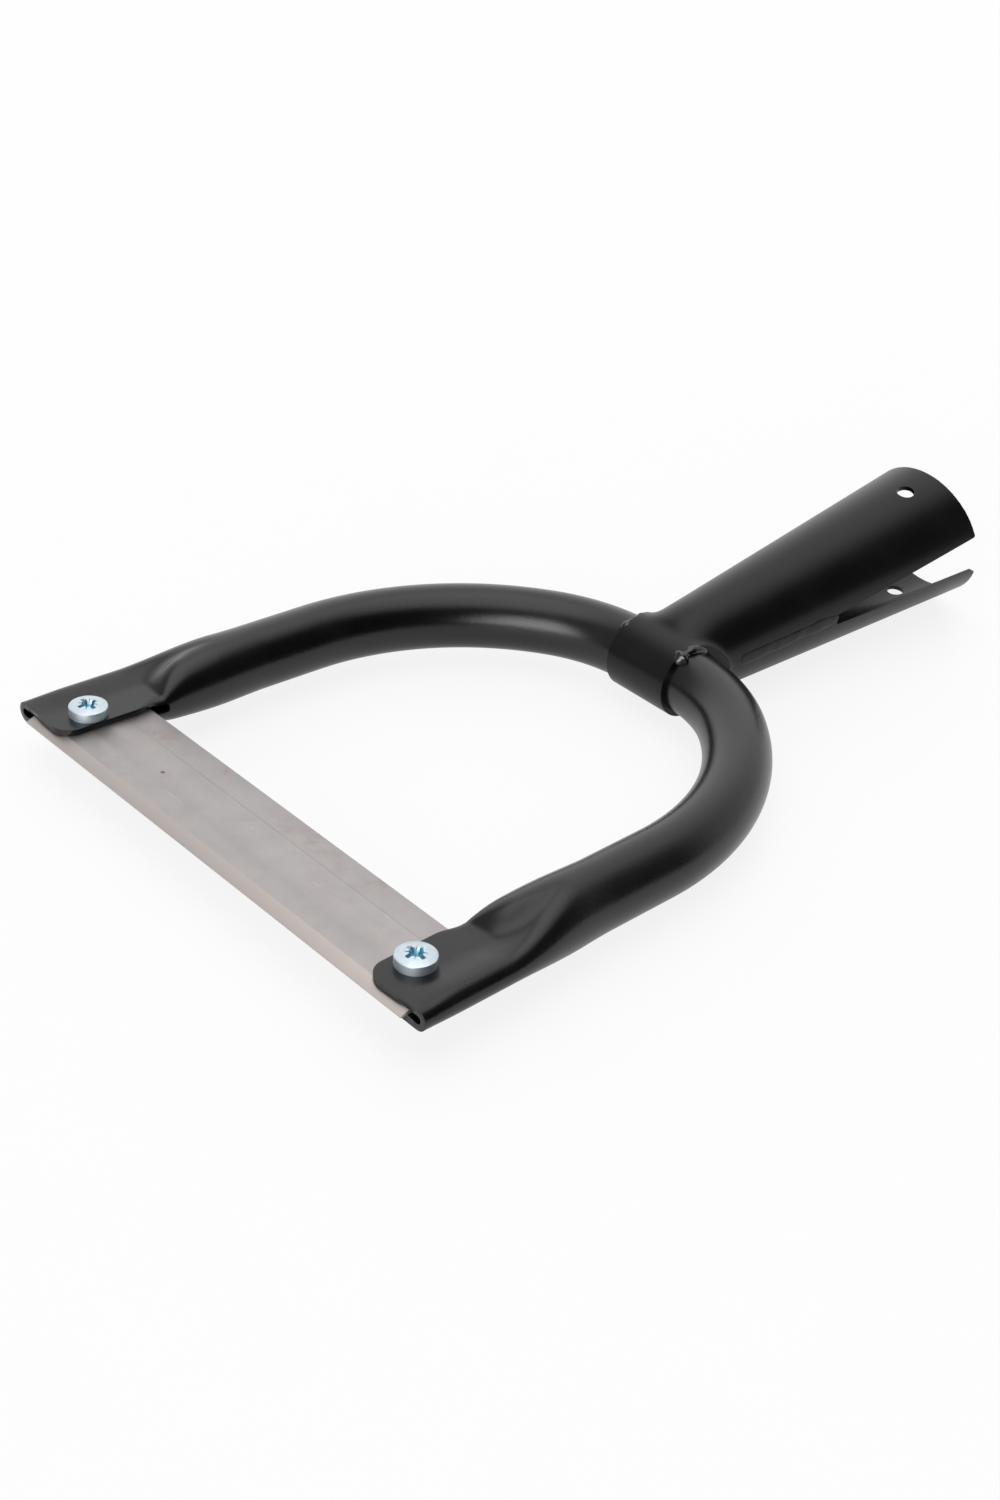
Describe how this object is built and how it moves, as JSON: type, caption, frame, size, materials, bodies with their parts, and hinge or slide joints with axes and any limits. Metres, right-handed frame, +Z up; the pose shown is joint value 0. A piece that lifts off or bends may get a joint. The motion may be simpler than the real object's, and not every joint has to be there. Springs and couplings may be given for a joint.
{
  "type": "bark spud",
  "caption": "Bark spud head: a bent tube bow with flattened ends clamps a flat steel blade, and a rolled, split socket takes a wooden handle.",
  "frame": {"origin": "on the ground, under the middle of the bounding box", "axes": "+X from the blade towards the handle, +Y across the bow to the left side as seen from the blade looking at the handle, +Z up"},
  "size_m": [0.3122, 0.1936, 0.0493],
  "materials": {
    "bow_paint": "satin black coating with a faint orange peel",
    "socket_paint": "satin black coating",
    "weld_paint": "satin black coating over a rough bead",
    "blade_steel": "bare ground steel",
    "zinc": "bluish zinc plating",
    "nylon": "matt"
  },
  "bodies": {
    "root": {"bow_tube": "bow_paint", "handle_socket": "socket_paint", "blade": "blade_steel", "blade_screw_left": "zinc", "blade_screw_right": "zinc", "lock_nut_left": "zinc", "lock_nut_right": "zinc", "nylon_ring_left": "nylon", "nylon_ring_right": "nylon", "socket_seam_weld": "weld_paint", "collar_weld_left": "weld_paint", "collar_weld_right": "weld_paint"}
  },
  "joints": []
}
